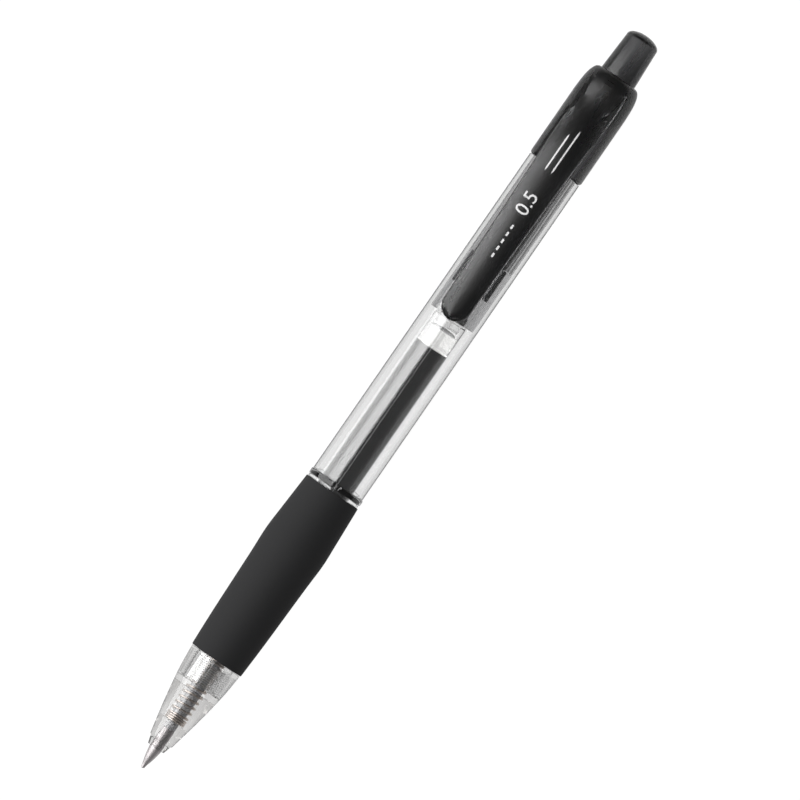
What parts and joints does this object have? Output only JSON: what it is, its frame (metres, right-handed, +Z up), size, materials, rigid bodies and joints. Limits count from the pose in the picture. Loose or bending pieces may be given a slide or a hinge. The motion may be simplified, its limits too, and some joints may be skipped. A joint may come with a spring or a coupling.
{
  "type": "retractable gel pen",
  "caption": "Clear-barrelled retractable gel pen with a rubber grip, screw-on nose cone, smoky rear cap with pocket clip, push button and a cam that latches the tip out.",
  "frame": {"origin": "the writing point: the front of the writing ball, on the pen's axis, with the tip out", "axes": "+X runs along the pen's axis from the writing point to the push button; +Z points up through the middle of the clip"},
  "size_m": [0.142, 0.011, 0.0128],
  "materials": {
    "ball_steel": "polished",
    "tip_metal": "fine turned",
    "holder_plastic": "milky, glossy",
    "refill_tube": "clear, glossy",
    "black_ink": "wet gel ink",
    "follower_grease": "clear yellowish grease",
    "pale_plastic": "satin",
    "spring_wire": "bright drawn wire",
    "clear_front": "clear, glossy",
    "clear_barrel": "clear, glossy",
    "black_rubber": "matte moulded rubber",
    "smoky_sleeve": "smoky translucent, glossy",
    "black_plastic": "satin",
    "smoky_button": "smoky translucent, glossy",
    "smoky_black": "smoky black, glossy"
  },
  "bodies": {
    "barrel": {"clear_barrel": "clear_barrel", "grip": "black_rubber", "cam_sleeve": "smoky_sleeve", "clip_cap": "smoky_black"},
    "button": {"push_button": "smoky_button"},
    "refill": {"tip_body": "tip_metal", "tip_spring": "ball_steel", "tip_holder": "holder_plastic", "ink_tube": "refill_tube", "ink": "black_ink", "follower": "follower_grease", "tail_plug": "pale_plastic"},
    "valve": {"valve_ball": "ball_steel"},
    "rotor": {"cam_rotor": "black_plastic"},
    "ball": {"writing_ball": "ball_steel"},
    "spring": {"return_spring": "spring_wire"},
    "nose": {"nose_cone": "clear_front"},
    "clip": {"clip": "smoky_black"}
  },
  "joints": [
    {"name": "button_press", "type": "slide", "parent": "barrel", "child": "button", "axis": [-1, 0, 0], "range_m": [-0.005, 0.001]},
    {"name": "refill_feed", "type": "slide", "parent": "barrel", "child": "refill", "axis": [-1, 0, 0], "range_m": [-0.005, 0.001], "deforming": ["return_spring"]},
    {"name": "rotor_turn", "type": "hinge", "parent": "refill", "child": "rotor", "pos_m": [0.09, 0, 0], "axis": [1, 0, 0], "range_deg": [0, 45]},
    {"name": "ball_roll", "type": "hinge", "parent": "refill", "child": "ball", "pos_m": [0.00025, 0, 0], "axis": [0, 1, 0], "continuous": true},
    {"name": "valve_float", "type": "slide", "parent": "refill", "child": "valve", "axis": [-1, 0, 0], "range_m": [-0.003, 0.0001]},
    {"name": "nose_travel", "type": "slide", "parent": "barrel", "child": "spring", "axis": [-1, 0, 0], "range_m": [0, 0.0036]},
    {"name": "nose_turn", "type": "hinge", "parent": "spring", "child": "nose", "pos_m": [0.0185, 0, 0], "axis": [-1, 0, 0], "range_deg": [0, 1800]},
    {"name": "clip_flex", "type": "hinge", "parent": "barrel", "child": "clip", "pos_m": [0.1262, 0, 0.00518], "axis": [0, 1, 0], "range_deg": [0, 4], "stiffness_Nm_per_rad": 1.2}
  ],
  "couplings": [
    {"joint": "refill_feed", "follows": "button_press", "ratio": 1},
    {"joint": "nose_turn", "follows": "nose_travel", "rad_per_m": 8726.6}
  ]
}
